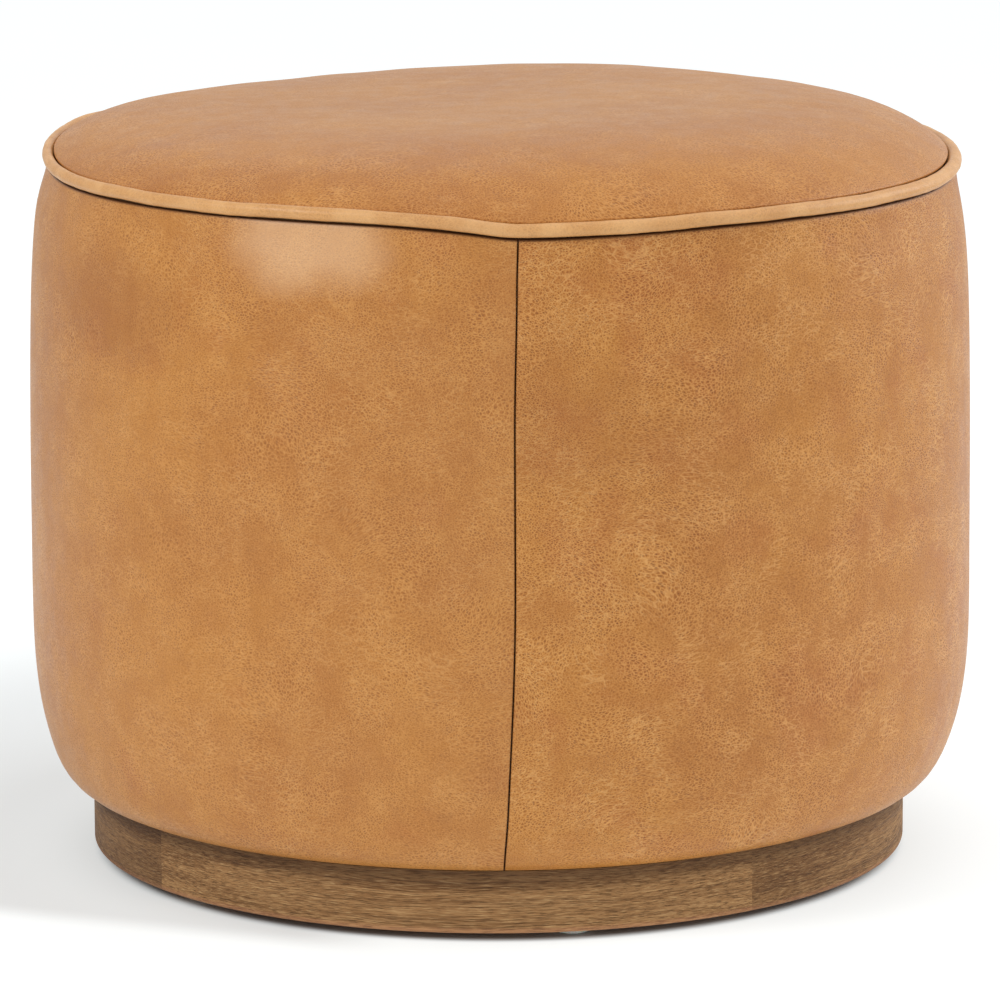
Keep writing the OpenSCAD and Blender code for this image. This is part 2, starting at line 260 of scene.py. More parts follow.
def make_piece(name, points, faces, material):
    mesh = bpy.data.meshes.new(name)
    mesh.from_pydata(points, [], faces)
    mesh.update()
    mesh.shade_smooth()
    mesh.materials.append(material)
    piece = bpy.data.objects.new(name, mesh)
    bpy.context.scene.collection.objects.link(piece)
    return piece


def grid_faces(rows, columns, around=False, closed=False, start=0):
    """Quads over rows of points. around joins the last column to the first, closed the last row."""
    faces = []
    for i in range(rows if closed else rows - 1):
        for j in range(columns if around else columns - 1):
            a, b = i * columns, (i + 1) % rows * columns
            k = (j + 1) % columns
            faces.append((start + a + j, start + b + j, start + b + k, start + a + k))
    return faces


def lathe(outline, columns, change=None, hole=False, first=0.0):
    """Points and faces of an outline turned round the axis: closed, or ending on the axis at both ends."""
    p = np.array(outline)
    poles = p[0, 0] < 1e-6 and p[-1, 0] < 1e-6
    area = np.sum(p[:, 0] * np.roll(p[:, 1], -1) - np.roll(p[:, 0], -1) * p[:, 1])
    if (area > 0) != hole:
        p = p[::-1]
    body = p[1:-1] if poles else p
    points = []
    for r, z in body:
        for j in range(columns):
            points.append(polar(r, first + 2 * math.pi * j / columns, z))
    faces = grid_faces(len(body), columns, around=True, closed=not poles)
    if poles:
        last = (len(body) - 1) * columns
        for j in range(columns):
            k = (j + 1) % columns
            faces.append((len(points), j, k))
            faces.append((len(points) + 1, last + k, last + j))
        points += [(0, 0, p[0, 1]), (0, 0, p[-1, 1])]
    if change:
        points = [change(*q) for q in points]
    return points, faces


TUBE_SIDES = 6
TUBE_END = 0.45  # size of a tube's ends, as a share of its radius
TUBE_SKEW = Vector((0.31, 0.57, 0.76))  # no tube runs this way


def tubes(runs, radius):
    """Points and faces of many short tubes with narrower ends, one along each run of points."""
    points, faces = [], []
    for run in runs:
        start = len(points)
        run = [Vector(q) for q in run]
        for i, q in enumerate(run):
            along = (run[min(i + 1, len(run) - 1)] - run[max(i - 1, 0)]).normalized()
            side = along.cross(TUBE_SKEW).normalized()
            up = along.cross(side)
            size = radius * (TUBE_END if i in (0, len(run) - 1) else 1.0)
            for k in range(TUBE_SIDES):
                a = 2 * math.pi * k / TUBE_SIDES
                points.append(q + size * (math.cos(a) * side + math.sin(a) * up))
        faces += grid_faces(len(run), TUBE_SIDES, around=True, start=start)
        faces.append(tuple(range(start, start + TUBE_SIDES)))
        faces.append(tuple(range(len(points) - 1, len(points) - 1 - TUBE_SIDES, -1)))
    return points, faces


def dye_and_shade_edges(piece, shares):
    """Marks how dark each point is: the cut edges' own colour, and painted shade in seam grooves and
    crevices.
    """
    piece.data.attributes.new("edge", "FLOAT", "POINT").data.foreach_set("value", shares)


def marked(piece, free, thick, dye_and_shade):
    """Marks a leather sheet's points: how free they are to move, how thick they are, how dark they are,
    from edge colour and painted shade.
    """
    for name, weights in (("held", [1 - f for f in free]), ("thick", thick)):
        group = piece.vertex_groups.new(name=name)
        for i, w in enumerate(weights):
            group.add([i], w, "REPLACE")
    dye_and_shade_edges(piece, dye_and_shade)
    return piece


def applied(piece):
    """Puts a piece's modifiers into its mesh."""
    seen = piece.evaluated_get(bpy.context.evaluated_depsgraph_get())
    mesh = bpy.data.meshes.new_from_object(seen)
    piece.modifiers.clear()
    piece.data = mesh
    return piece


# ---- finishes

def srgb(red, green, blue):
    """A colour given as it is seen, 0 to 255, as linear light."""
    parts = [c / 255 for c in (red, green, blue)]
    return tuple(c / 12.92 if c < 0.04045 else ((c + 0.055) / 1.055) ** 2.4 for c in parts) + (1.0,)


BAND_SCALE = 0.314  # scale of the wave texture whose stripes are a metre apart


class Finish:
    """A Principled material that is built up node by node, on object coordinates in metres."""

    def __init__(self, name, **sockets):
        self.material = bpy.data.materials.new(name)
        self.material.use_nodes = True
        self.tree = self.material.node_tree
        self.shader = self.tree.nodes["Principled BSDF"]
        self.at = self.add("ShaderNodeTexCoord").outputs["Object"]
        for key, value in sockets.items():
            self.shader.inputs[key.replace("_", " ")].default_value = value

    def add(self, kind, inputs=(), **settings):
        made = self.tree.nodes.new(kind)
        for key, value in settings.items():
            setattr(made, key, value)
        for key, value in dict(inputs).items():
            self.feed(made.inputs[key], value)
        return made

    def feed(self, socket, value):
        if isinstance(value, bpy.types.NodeSocket):
            self.tree.links.new(value, socket)
        else:
            socket.default_value = value

    def placed(self, move=(0, 0, 0), turn=0.0, scale=(1, 1, 1), at=None):
        """Coordinates moved, turned about Z and then scaled."""
        moved = self.add("ShaderNodeMapping", {
            "Vector": at or self.at, "Location": move, "Rotation": (0, 0, turn)})
        return self.add("ShaderNodeMapping", {"Vector": moved.outputs[0], "Scale": scale}).outputs[0]

    def noise(self, size, at=None, detail=2.0, rough=0.5, bend=0.0):
        """Noise with features of about one size."""
        return self.add("ShaderNodeTexNoise", {
            "Vector": at or self.at, "Scale": 1 / size, "Detail": detail, "Roughness": rough,
            "Distortion": bend}).outputs["Fac"]

    def cells(self, size, at=None, feature="F1"):
        """Distance from the nearest of many scattered points, or from the borders between them."""
        return self.add("ShaderNodeTexVoronoi", {"Vector": at or self.at, "Scale": 1 / size},
                        feature=feature).outputs["Distance"]

    def bands(self, size, axis, at=None):
        """Soft stripes across an axis, with one size from each to the next."""
        return self.add("ShaderNodeTexWave", {"Vector": at or self.at, "Scale": BAND_SCALE / size},
                        bands_direction=axis).outputs["Fac"]

    def warped(self, size, amount, at=None):
        """Coordinates pushed about by noise."""
        at = at or self.at
        push = self.add("ShaderNodeTexNoise", {"Vector": at, "Scale": 1 / size, "Detail": 2.0})
        push = self.add("ShaderNodeVectorMath", {0: push.outputs["Color"], 1: (0.5, 0.5, 0.5)},
                        operation="SUBTRACT")
        push = self.add("ShaderNodeVectorMath", {0: push.outputs[0], "Scale": amount}, operation="SCALE")
        return self.add("ShaderNodeVectorMath", {0: at, 1: push.outputs[0]}, operation="ADD").outputs[0]

    def span(self, value, low, high, start=0.0, end=1.0):
        """start where value is below low, end where it is above high, smooth between."""
        return self.add("ShaderNodeMapRange", {
            "Value": value, "From Min": low, "From Max": high, "To Min": start, "To Max": end},
            interpolation_type="SMOOTHSTEP").outputs[0]

    def length(self, vector):
        return self.add("ShaderNodeVectorMath", {0: vector}, operation="LENGTH").outputs["Value"]

    def sum(self, a, b, kind="ADD"):
        return self.add("ShaderNodeMath", {0: a, 1: b}, operation=kind).outputs[0]

    def product(self, a, b):
        return self.sum(a, b, "MULTIPLY")

    def mix(self, share, a, b):
        """Colour a with a share of colour b."""
        made = self.add("ShaderNodeMix", data_type="RGBA")
        for key, value in ((0, share), (6, a), (7, b)):
            self.feed(made.inputs[key], value)
        return made.outputs[2]

    def layers(self, colour, *more):
        """A colour with others laid over it, each given as a share and as it is seen."""
        for share, seen in more:
            colour = self.mix(share, colour, srgb(*seen))
        return colour

    def finish(self, colour, roughness=None, height=None, depth=0.0):
        """Feeds the shader: colour, roughness, and a height that is depth metres from 0 to 1."""
        self.feed(self.shader.inputs["Base Color"], colour)
        if roughness is not None:
            self.feed(self.shader.inputs["Roughness"], roughness)
        if height is not None:
            bump = self.add("ShaderNodeBump", {"Height": height, "Distance": depth, "Strength": 1.0})
            self.feed(self.shader.inputs["Normal"], bump.outputs[0])
        return self.material


GRAIN = 1.4 * MM  # size of the small cells between the leather's wrinkles
SIDE_STRETCH = (0.75, 0.75, 1.05)
SEAT_STRETCH = (0.66, 1.0, 1.0)
EDGE_DYE_AND_SHADE = (84, 46, 20)  # the leather's cut edges, and painted shade down the seam grooves and in the crevices under the piping


def leather(name, grain, wear, warmth, pale, move, stretch=SIDE_STRETCH, sat_on=False, patches=()):
    """Waxed tan hide: small dark cells in a net of pale wrinkles, soft patches, creases from handling.
    Where the pouf is sat on, the middle is worn smoother. Each of patches is a middle, a radius, a
    share and a colour: a place of another colour, twice as wide as it is tall; some are painted highlights."""
    f = Finish(name, Specular_IOR_Level=0.4)
    hide = f.placed(move=move)
    drift = f.warped(90 * MM, 50 * MM, hide)
    net = f.placed(scale=stretch, at=f.warped(6 * MM, 1.2 * MM, drift))
    ridge = f.span(f.cells(GRAIN, net, "DISTANCE_TO_EDGE"), 0.17, 0.02)
    pores = f.span(f.cells(GRAIN, net), 0.40, 0.10)
    fine = f.noise(0.6 * MM, net, detail=2, rough=0.6)
    strong = f.product(f.span(f.noise(24 * MM, drift, detail=3), 0.34, 0.62, 0.45, 1.0), grain)
    if sat_on:
        strong = f.product(strong, f.span(f.length(f.placed(scale=(1, 1, 0))), 0.16, 0.25, 0.45, 1.0))
    drawn = f.placed(scale=(0.42, 0.42, 1.5), at=f.warped(9 * MM, 3 * MM, drift))
    handled = f.noise(26 * MM, f.placed(move=(5, 0, 1), at=hide), detail=3)
    handled = f.product(f.span(handled, 0.44, 0.60), wear)
    creases = f.product(f.span(f.cells(3.2 * MM, drawn, "DISTANCE_TO_EDGE"), 0.10, 0.01), handled)
    cloud = f.noise(90 * MM, hide, detail=3, rough=0.55)
    blotch = f.noise(13 * MM, hide, detail=4, rough=0.6)
    rust = f.span(f.sum(f.noise(45 * MM, f.placed(move=(3, 1, 2), at=hide)), warmth), 0.54, 0.74)
    # patches are places of another colour; the pale one at the front left is a painted highlight
    spots = []
    for middle, radius, share, colour in patches:
        back = tuple(-c for c in middle)
        off = f.length(f.placed(move=back, scale=(1, 1, 2), at=f.warped(50 * MM, 30 * MM)))
        spots.append((f.span(off, radius, 0.4 * radius, 0.0, share), colour))
    faded = f.span(f.noise(20 * MM, hide, detail=3), 0.36, 0.64, 0.8 * pale, 1.2 * pale)
    edge = f.add("ShaderNodeAttribute", attribute_name="edge").outputs["Fac"]
    tan = f.layers(
        srgb(163, 98, 31),
        (f.span(cloud, 0.32, 0.68), (175, 111, 37)),
        (f.product(rust, 0.4), (158, 84, 30)),
        (f.span(blotch, 0.48, 0.7, 0.0, 0.20), (188, 130, 62)),
        (f.span(blotch, 0.46, 0.28, 0.0, 0.25), (142, 82, 24)),
        (f.product(f.span(fine, 0.47, 0.30), 0.50), (116, 62, 14)),
        (f.product(pores, f.product(strong, 0.65)), (104, 54, 12)),
        (f.product(ridge, f.product(strong, 0.62)), (212, 152, 82)),
        (f.product(f.span(fine, 0.53, 0.70), 0.40), (210, 150, 84)),
        (f.product(creases, 0.38), (222, 168, 102)),
        *spots,
        (faded, (232, 186, 130)),
        # painted shade in the seam grooves and under the piping, with the cut edges' own colour
        (edge, EDGE_DYE_AND_SHADE),
    )
    gloss = f.sum(f.span(blotch, 0.3, 0.7, 0.38, 0.46), f.product(pores, 0.08))
    height = f.sum(f.product(f.sum(ridge, pores, "SUBTRACT"), f.product(strong, 0.5)), 0.5)
    height = f.sum(height, f.product(f.noise(4 * MM, hide, detail=3), 0.5))
    return f.finish(tan, gloss, height, 0.12 * MM)


def stained_wood(name, turn, move, bottom, top, dark):
    """Brown stained, oiled hardwood with its grain straight along the piece's chord, paler along its
    bottom edge as a painted highlight and darker up under the cover as painted shade. dark is how much
    painted shade darkens the whole board."""
    f = Finish(name, Specular_IOR_Level=0.2)
    wavy = f.warped(70 * MM, 5 * MM, f.placed(turn=turn, move=move))
    height = f.add("ShaderNodeSeparateXYZ", {"Vector": f.at}).outputs["Z"]
    streaks = f.noise(1.0, f.placed(scale=(11, 40, 900), at=wavy), detail=4, rough=0.65)
    flecks = f.noise(1.0, f.placed(scale=(90, 300, 2400), at=wavy), detail=2, rough=0.6)
    rings = f.noise(1.0, f.placed(scale=(3, 14, 110), at=wavy), detail=3, rough=0.5)
    pores = f.span(flecks, 0.46, 0.32)
    brown = f.layers(
        srgb(120, 83, 48),
        (f.span(rings, 0.34, 0.66), (152, 112, 70)),
        (f.span(streaks, 0.50, 0.66, 0.0, 0.45), (180, 142, 98)),
        (f.span(streaks, 0.50, 0.34, 0.0, 0.55), (86, 56, 30)),
        (f.product(pores, 0.65), (66, 42, 22)),
        (f.span(flecks, 0.54, 0.68, 0.0, 0.45), (204, 168, 118)),
        # painted highlight: the eased bottom edge lit from the floor
        (f.span(height, bottom + 4 * MM, bottom + 1.5 * MM, 0.0, 0.4), (182, 126, 92)),
        # painted shade up under the cover's overhang
        (f.span(height, top - 14 * MM, top - 2 * MM, 0.0, 0.6), (58, 36, 22)),
        # painted shade over the whole board
        (dark, (74, 48, 28)),
    )
    rough = f.span(streaks, 0.3, 0.7, 0.6, 0.75)
    depth = f.sum(f.product(streaks, 0.6), f.product(pores, -0.8))
    return f.finish(brown, rough, depth, 0.2 * MM)


def raw_wood(name, pale, dark, scale, layers=None):
    """Unfinished wood: timber, or plywood with layered edges."""
    f = Finish(name, Roughness=0.7)
    grain = f.noise(1.0, f.placed(scale=scale), detail=4, rough=0.6)
    colour = f.mix(f.span(grain, 0.3, 0.7), pale, dark)
    if layers:
        edges = f.span(f.bands(layers, "Z"), 0.45, 0.55)
        colour = f.mix(f.product(edges, 0.5), colour, dark)
    return f.finish(colour, None, grain, 0.2 * MM)


def foam(name, pale, dark):
    f = Finish(name, Roughness=0.95)
    holes = f.span(f.cells(0.9 * MM), 0.15, 0.5)
    uneven = f.noise(25 * MM, detail=3)
    colour = f.mix(f.span(uneven, 0.3, 0.7), pale, dark)
    colour = f.mix(f.span(holes, 1.0, 0.0, 0.0, 0.5), colour, dark)
    return f.finish(colour, None, holes, 0.4 * MM)


def wadding_finish():
    f = Finish("polyester_wadding", Roughness=1.0, Sheen_Weight=0.6, Sheen_Roughness=0.5)
    fluff = f.noise(6 * MM, f.warped(14 * MM, 10 * MM), detail=6, rough=0.7, bend=1.2)
    colour = f.mix(f.span(fluff, 0.3, 0.7), srgb(236, 236, 232), srgb(205, 205, 202))
    return f.finish(colour, None, fluff, 1.2 * MM)


def woven(name, yarn, light, dark, stripe=None):
    """A plain weave in X and Y, and a stripe across it if wanted."""
    f = Finish(name, Roughness=0.9)
    wobble = f.warped(8 * MM, 0.5 * MM)
    over = f.bands(yarn, "X", wobble)
    under = f.bands(yarn, "Y", wobble)
    weave = f.product(over, under)
    colour = f.mix(f.span(weave, 0.0, 0.6), dark, light)
    colour = f.mix(f.span(f.noise(20 * MM, detail=3), 0.35, 0.7, 0.0, 0.35), colour, dark)
    if stripe:
        colour = f.mix(f.span(f.bands(40 * MM, stripe), 0.93, 0.96, 0.0, 0.5), colour, srgb(170, 165, 150))
    return f.finish(colour, None, weave, 0.3 * MM)


def thread_finish():
    f = Finish("bonded_thread", Roughness=0.55)
    twist = f.bands(0.45 * MM, "DIAGONAL")
    colour = f.mix(twist, srgb(62, 38, 22), srgb(40, 24, 14))
    return f.finish(colour, None, twist, 0.08 * MM)


def cord_finish():
    f = Finish("welt_cord_fibre", Roughness=0.9)
    fibre = f.noise(0.8 * MM, detail=4, rough=0.7)
    colour = f.mix(fibre, srgb(238, 232, 214), srgb(200, 192, 170))
    return f.finish(colour, None, fibre, 0.2 * MM)


def steel_finish():
    f = Finish("zinc_plated_steel", Metallic=1.0)
    spangle = f.cells(1.6 * MM)
    colour = f.mix(f.span(spangle, 0.1, 0.6), srgb(206, 207, 210), srgb(170, 172, 178))
    return f.finish(colour, f.span(f.noise(0.7 * MM, detail=3), 0.3, 0.7, 0.25, 0.42), spangle, 0.03 * MM)


def nylon_finish():
    f = Finish("white_nylon", Subsurface_Weight=0.3, Subsurface_Scale=0.003)
    scuffs = f.noise(1.0, f.placed(scale=(900, 500, 300)), detail=4, rough=0.7)
    colour = f.mix(f.span(scuffs, 0.4, 0.8), srgb(238, 238, 234), srgb(214, 213, 206))
    return f.finish(colour, f.span(scuffs, 0.3, 0.7, 0.35, 0.5), scuffs, 0.05 * MM)


def dust_finish():
    f = Finish("black_spunbond", Roughness=0.85)
    fibres = f.noise(1.5 * MM, f.warped(4 * MM, 6 * MM), detail=5, rough=0.75, bend=2.0)
    points = f.span(f.cells(1.4 * MM), 0.2, 0.35)
    colour = f.mix(f.span(fibres, 0.4, 0.7), srgb(26, 26, 27), srgb(52, 52, 54))
    return f.finish(colour, None, f.product(fibres, points), 0.15 * MM)


# ---- leather cover

GRID = 11 * MM  # spacing of the leather's grid before it is subdivided
ROLL = 0.95 * MM  # radius of the leather's folds
ALLOWANCE = 4 * MM
SEAM_HALF_GAP = 0.25 * MM  # the groove of a vertical seam, down to where its two leathers touch
TOUCH = 0.03 * MM
VALLEY = 0.7 * MM  # how far the leather sinks beside a seam, and over what width
VALLEY_W = 5 * MM
RELAXED = 0.4 * MM  # the leather starts this far inside and is pressed out
LIP = 1.3 * MM  # how far the top edge of the side puffs out under the piping
BELLY = 1.6 * MM  # how much fuller the side is low down, at what height, and over what height
BELLY_Z = 0.105
BELLY_TALL = 0.050
SLACK = 0.35 * MM  # how far the leather waves in and out by itself
HIDDEN_ROWS = 6  # rows of the hem and of its fold that are turned in under the piping


def side_rows():
    """The side leather's outer face from its hem to its stapled tail: r, z, how far the vertical seam is
    rolled in there, from 0 to 1, and how free the leather is to move."""
    hem_r = FLANGE_OUT + 0.1 * MM
    fold_z = SIDE_TOP_Z - 3.0 * MM
    fold = (side_r(fold_z) + LIP - hem_r) / 2
    hem = [(hem_r, HEM_Z + 0.4 * MM), (hem_r, HEM_Z + 3.5 * MM)]
    lip = arc((hem_r + fold, fold_z), fold, 180, 0, 4)
    near = [(side_r(fold_z - d) + LIP * math.exp(-(d / (6 * MM)) ** 2), fold_z - d)
            for d in (1.2 * MM, 3 * MM, 6 * MM)]
    wall = spaced(side_chain(fold_z - 11 * MM), GRID)
    under = spaced([(wall[-1][0], UNDERSIDE_Z), (TAIL_R, UNDERSIDE_Z)], GRID)[1:]
    rows = []
    for (r, z), rolled in zip(hem + lip, (0.0, 0.0, 0.0, 0.0, 0.0, 0.3, 0.6)):
        rows.append((r, z, rolled, 0.0))
    for r, z in near + wall:
        rolled = smooth(0.6 + (fold_z - z) / (8 * MM)) * smooth((z - UNDERSIDE_Z) / (12 * MM))
        free = smooth((fold_z - z) / (40 * MM)) * smooth((z - UNDERSIDE_Z) / (50 * MM))
        rows.append((r, z, rolled, free))
    for r, z in under:
        rows.append((r, z, 0.0, 0.0))
    return rows


def seam_columns():
    """Columns beside a seam: distance from its middle, depth, and distance where it isn't rolled in."""
    columns = [(TOUCH, ALLOWANCE, 0.04 * MM), (TOUCH, ALLOWANCE * 0.7, 0.12 * MM)]
    columns.append((SEAM_HALF_GAP, ALLOWANCE * 0.5, 0.22 * MM))
    for i in range(4):
        a = QUARTER * i / 3
        columns.append((SEAM_HALF_GAP + ROLL * (1 - math.cos(a)), ROLL * (1 - math.sin(a)),
                        (0.35 + 0.22 * i) * MM))
    for across in (2.0, 3.6, 6.0, 10.0):
        columns.append((across * MM, 0.0, across * MM))
    return columns


def relief(x, y, z):
    """How far the leather stands proud of its outline: a fuller belly, slack, and pulls down the side."""
    belly = BELLY * math.exp(-((z - BELLY_Z) / BELLY_TALL) ** 2)
    slack = SLACK * waver(x, y, z * 0.7, 0.085, 3.1)
    pulls = SLACK * waver(x, y, z * 0.25, 0.026, 8.4)
    return belly + slack + pulls


def side_panel(index, material):
    """One of the four side panels, from seam to seam."""
    rows = side_rows()
    outward = normals([(r, z) for r, z, _, _ in rows])
    edge = seam_columns()
    inner = round((WAIST_R * QUARTER - 2 * edge[-1][0]) / GRID)
    points, free, thick, dye_and_shade = [], [], [], []
    for row, ((r, z, rolled, loose), (n_r, n_z)) in enumerate(zip(rows, outward)):
        across = [(rolled * c[0] + (1 - rolled) * c[2], rolled * c[1]) for c in edge]
        left = [(t / r, depth) for t, depth in across]
        last = left[-1][0]
        middle = [(last + (QUARTER - 2 * last) * k / inner, 0.0) for k in range(1, inner)]
        right = [(QUARTER - a, depth) for a, depth in reversed(left)]
        for a, depth in left + middle + right:
            seam = min(a, QUARTER - a) * r
            angle = seam_turn(index, z) + a
            dip = rolled * VALLEY * math.exp(-seam / VALLEY_W)
            proud = relief(*polar(r, angle, z)) * smooth(seam / (30 * MM))
            out = loose * (proud - RELAXED) - depth - dip
            points.append(settle(*polar(r + out * n_r, angle, z + out * n_z)))
            free.append(loose * smooth(seam / (45 * MM)))
            folded = min(rolled, smooth(seam / (8 * MM))) if z > UNDERSIDE_Z + MM else 1.0
            thick.append(SKIVED + (1 - SKIVED) * folded)
            # dark down the seam grooves and on the hem rows under the piping: painted shade
            dye_and_shade.append(max(smooth((seam - 0.1 * MM) / -(0.8 * MM) + 1), 1.0 if row < HIDDEN_ROWS else 0.0))
    columns = inner - 1 + 2 * len(edge)
    piece = make_piece("panel_" + SIDES[index], points, grid_faces(len(rows), columns), material)
    return marked(piece, free, thick, dye_and_shade)


def disc(across, radius):
    """Points and faces of a round sheet laid out as a square grid, and its edge in order."""
    points = []
    for i in range(across + 1):
        for j in range(across + 1):
            u, v = 2 * i / across - 1, 2 * j / across - 1
            if abs(u) >= abs(v):
                angle = QUARTER / 2 * (v / (u or 1.0)) + (math.pi if u < 0 else 0)
            else:
                angle = math.copysign(QUARTER, v) - QUARTER / 2 * (u / v)
            points.append(polar(radius * max(abs(u), abs(v)), angle, 0)[:2])
    n = across + 1
    faces = [(i * n + j, (i + 1) * n + j, (i + 1) * n + j + 1, i * n + j + 1)
             for i in range(across) for j in range(across)]
    edge = [i * n + j for i in range(n) for j in range(n) if i in (0, across) or j in (0, across)]
    edge.sort(key=lambda k: math.atan2(points[k][1], points[k][0]))
    return points, faces, edge


SEAT_CELLS = 44  # cells across the seat's grid


def seat_panel(material):
    """The domed top: a square grid in the middle, and rings over the fold and down the hem."""
    hem_r = FLANGE_IN - 0.1 * MM
    centre = (hem_r + 0.35 * MM, dome_z(hem_r) - 2.1 * MM)
    fold = arc(centre, 1.35 * MM, 62, -50, 4)
    grid_r = hem_r - 9 * MM
    rings = [(r, dome_z(r)) for r in (hem_r - 5.5 * MM, hem_r - 3 * MM, hem_r - 1.4 * MM)]
    rings += fold + [(hem_r, z) for z in (centre[1] - 4 * MM, HEM_Z + 6 * MM, HEM_Z + 0.4 * MM)]
    flat, faces, edge = disc(SEAT_CELLS, grid_r)
    points, free, thick, dye_and_shade = [], [], [], []
    for x, y in flat:
        r = math.hypot(x, y)
        loose = smooth((grid_r - r) / (50 * MM))
        out = loose * (relief(x, y, 0.4) - RELAXED)
        points.append(settle(x, y, dome_z(r) + out))
        free.append(loose)
        thick.append(1.0)
        dye_and_shade.append(0.0)
    before = edge
    angles = [math.atan2(flat[k][1], flat[k][0]) for k in edge]
    for i, (r, z) in enumerate(rings):
        now = [len(points) + k for k in range(len(angles))]
        points += [settle(*polar(r, a, z)) for a in angles]
        free += [0.0] * len(angles)
        thick += [SKIVED if i > 1 else 1.0] * len(angles)
        # the hem turned down under the piping is dark: painted shade in the crevice
        dye_and_shade += [1.0 if i > 6 else 0.0] * len(angles)
        for k in range(len(angles)):
            m = (k + 1) % len(angles)
            faces.append((before[k], now[k], now[m], before[m]))
        before = now
    piece = make_piece("seat_panel", points, faces, material)
    return marked(piece, free, thick, dye_and_shade)


CLOTH = {
    "quality": 6, "mass": 0.4, "use_pressure": True, "uniform_pressure_force": 4.0,
    "tension_stiffness": 60, "compression_stiffness": 60, "shear_stiffness": 60, "bending_stiffness": 20,
    "vertex_group_mass": "held",
}
SIM_FRAMES = 20
MOST_MOVE = 1.6 * MM  # no point of the leather moves further than this


def press_out(pieces):
    """Cloth simulation: the padding presses the leather out between its seams."""
    starts = []
    for piece in pieces:
        starts.append(np.array([v.co for v in piece.data.vertices]))
        cloth = piece.modifiers.new("press", "CLOTH").settings
        for key, value in CLOTH.items():
            setattr(cloth, key, value)
        cloth.effector_weights.gravity = 0
    for number in range(1, SIM_FRAMES + 1):
        bpy.context.scene.frame_set(number)
    graph = bpy.context.evaluated_depsgraph_get()
    for piece, start in zip(pieces, starts):
        moved = np.array([v.co for v in piece.evaluated_get(graph).data.vertices])
        move = moved - start
        length = np.linalg.norm(move, axis=1)[:, None] + 1e-12
        capped = start + move / length * MOST_MOVE * np.tanh(length / MOST_MOVE)
        piece.modifiers.clear()
        piece.data.vertices.foreach_set("co", capped.ravel())
        piece.data.update()
    bpy.context.scene.frame_set(1)


def make_hide(piece):
    """Subdivides a leather sheet once and gives it its thickness, thinner at its edges."""
    piece.modifiers.new("smooth", "SUBSURF").levels = 1
    skin = piece.modifiers.new("thickness", "SOLIDIFY")
    skin.thickness = LEATHER_T
    skin.offset = -1
    skin.vertex_group = "thick"
    skin.use_even_offset = False
    return applied(piece)


# ---- piping and thread

PIPING_COLUMNS = 360
PIPING_FIT = 0.92  # the piping's mean thickness, as a share of the CAD's,
PIPING_LOW = 0.6 * MM  # and how far it is pulled down onto the side


def lumpy(x, y, z):
    """The piping's small unevenness."""
    r, angle = math.hypot(x, y), math.atan2(y, x)
    size = PIPING_FIT + 0.05 * waver(x, y, 0, 0.009, 5.5) + 0.04 * waver(x, y, 0, 0.030, 1.5)
    sway = 0.5 * MM * waver(x, y, 0, 0.04, 7.7)
    r = PIPING_R + (r - PIPING_R) * size
    z = PIPING_Z + (z - PIPING_Z) * size + sway - PIPING_LOW
    return settle(*polar(r, angle, z))


def piping(material):
    """The welt: leather round a cord, hollow where the cord lies, with its sewn flange."""
    tube = arc((PIPING_R, PIPING_Z), TUBE_R, 216, 525, 26)
    inside = [(FLANGE_IN + 0.2 * MM, PIPING_Z), (FLANGE_IN, PIPING_Z - 2 * MM)]
    low = HEM_Z + PIPING_LOW + 0.2 * MM
    inside += [(FLANGE_IN, low + 5 * MM), (FLANGE_IN, low)]
    outside = [(FLANGE_OUT, low), (FLANGE_OUT, low + 5 * MM), (FLANGE_OUT, PIPING_Z - 3.2 * MM)]
    points, faces = lathe(tube + inside + outside, PIPING_COLUMNS)
    bore = arc((PIPING_R, PIPING_Z), CORD_R + 0.02 * MM, 0, 337.5, 15)
    more, joins = lathe(bore, PIPING_COLUMNS, hole=True)
    faces += [tuple(k + len(points) for k in face) for face in joins]
    points += more
    piece = make_piece("piping_welt", [lumpy(*q) for q in points], faces, material)
    # the flange below the tube is dark: painted shade in the crevice under the piping
    dye_and_shade_edges(piece, [smooth((PIPING_Z - 3.3 * MM - z) / (0.8 * MM)) for _, _, z in points])
    return piece


STRANDS = 3
TWISTS = 100  # turns of the cord's strands round the whole ring


def welt_cord(material):
    """The cord in the piping: three strands laid round each other."""
    sides, columns = 15, 900
    points = []
    for k in range(sides):
        for j in range(columns):
            angle = 2 * math.pi * j / columns
            turn = 2 * math.pi * k / sides
            lobe = abs(math.sin(STRANDS / 2 * (turn - TWISTS * angle)))
            size = (CORD_R - 0.05 * MM) * (0.86 + 0.14 * lobe)
            r, z = PIPING_R + size * math.cos(turn), PIPING_Z + size * math.sin(turn)
            points.append(lumpy(*polar(r, angle, z)))
    faces = [f[::-1] for f in grid_faces(sides, columns, around=True, closed=True)]
    return make_piece("welt_cord", points, faces, material)


STITCH = 3.2 * MM
THREAD_R = 0.2 * MM
TOP_THREAD_R = 0.26 * MM


def seam_stitches(material):
    """Thread across the groove of each vertical seam, one short stitch after another."""
    chain = spaced(sunk(side_chain(HEM_Z - 4 * MM), 3.0 * MM), STITCH)
    chain = [p for p in chain if p[1] > UNDERSIDE_Z + 14 * MM]
    runs = []
    for index in range(4):
        for (r, z), (r2, z2) in zip(chain, chain[1:]):
            angle = seam_turn(index, z)
            across = Vector((-math.sin(angle), math.cos(angle), 0)) * 0.55 * MM
            a = Vector(settle(*polar(r, angle, z)))
            b = Vector(settle(*polar(r2, seam_turn(index, z2), z2)))
            rise = (a - Vector((0, 0, a.z))).normalized() * 0.25 * MM
            runs.append([a.lerp(b, 0.12) - across * 0.5, a.lerp(b, 0.35) + rise,
                         a.lerp(b, 0.62) + rise, a.lerp(b, 0.88) + across * 0.5])
    points, faces = tubes(runs, THREAD_R)
    return make_piece("seam_stitches", points, faces, material)


